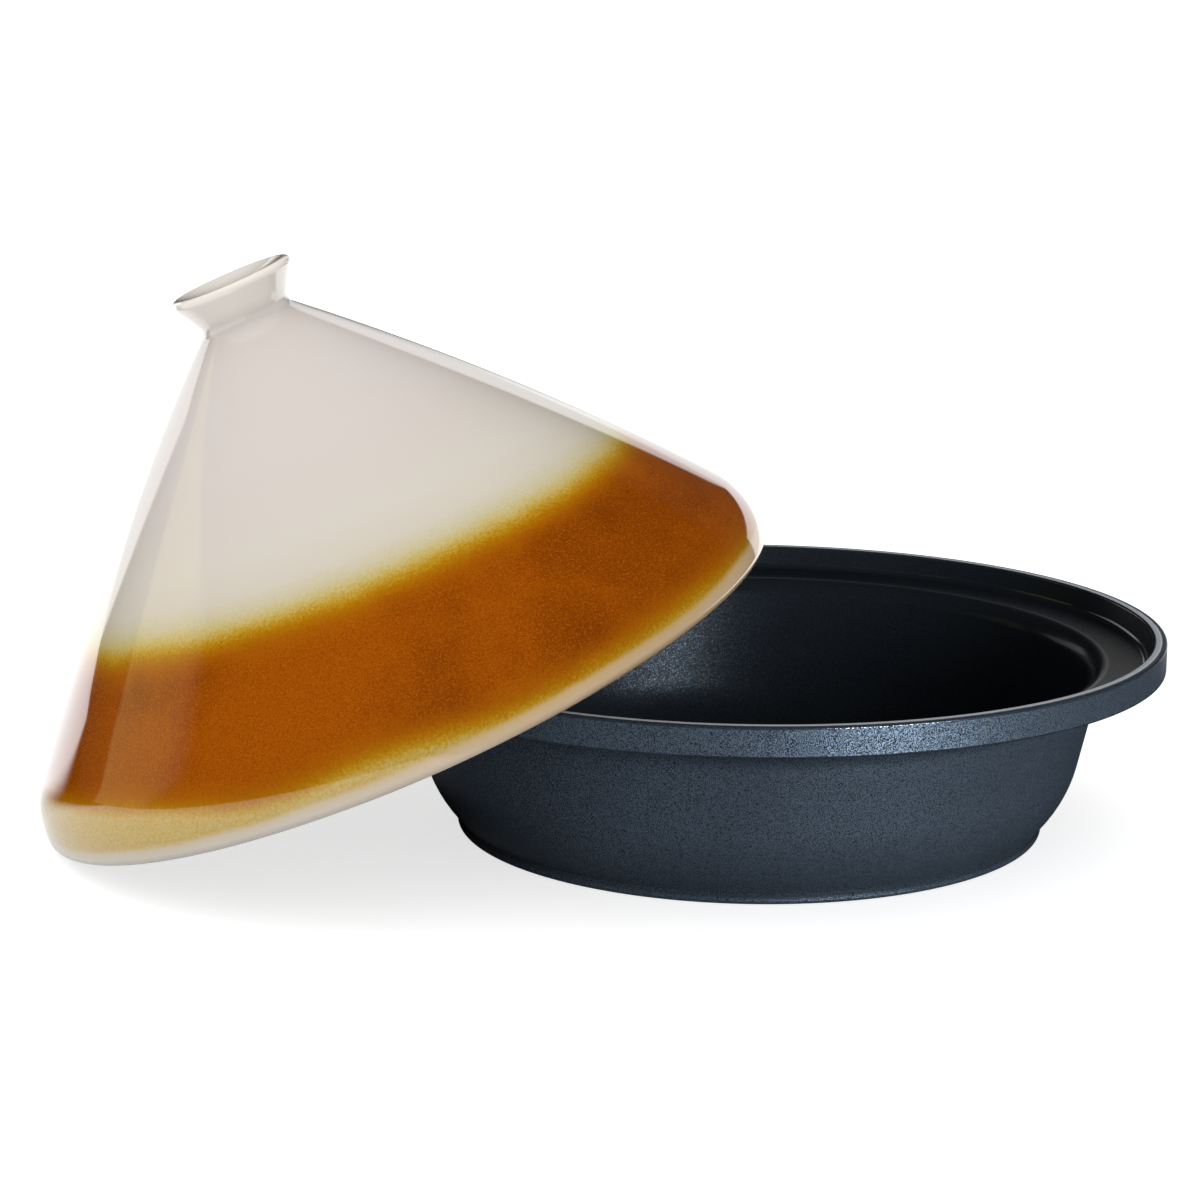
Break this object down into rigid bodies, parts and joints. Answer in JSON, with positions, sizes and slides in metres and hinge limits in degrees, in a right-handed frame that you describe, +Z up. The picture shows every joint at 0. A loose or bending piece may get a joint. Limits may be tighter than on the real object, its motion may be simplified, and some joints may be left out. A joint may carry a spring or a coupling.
{
  "type": "tagine",
  "caption": "Round cast cooking pot with a stepped, flanged rim, and its tall conical glazed stoneware lid with a dished knob, taken off and leaning on the pot's rim.",
  "frame": {"origin": "centre of the underside of the base's foot", "axes": "+Z up along the base's axis; the lid leans on the -X side, so the pair is longest along X; the XZ plane mirrors the object"},
  "size_m": [0.4083, 0.3, 0.2084],
  "materials": {
    "base": "dark speckled non-stick coating, satin",
    "lid": "glossy reactive glaze, cream at the top and the lip, amber brown between"
  },
  "bodies": {
    "root": {"base": "base", "lid": "lid"}
  },
  "joints": []
}
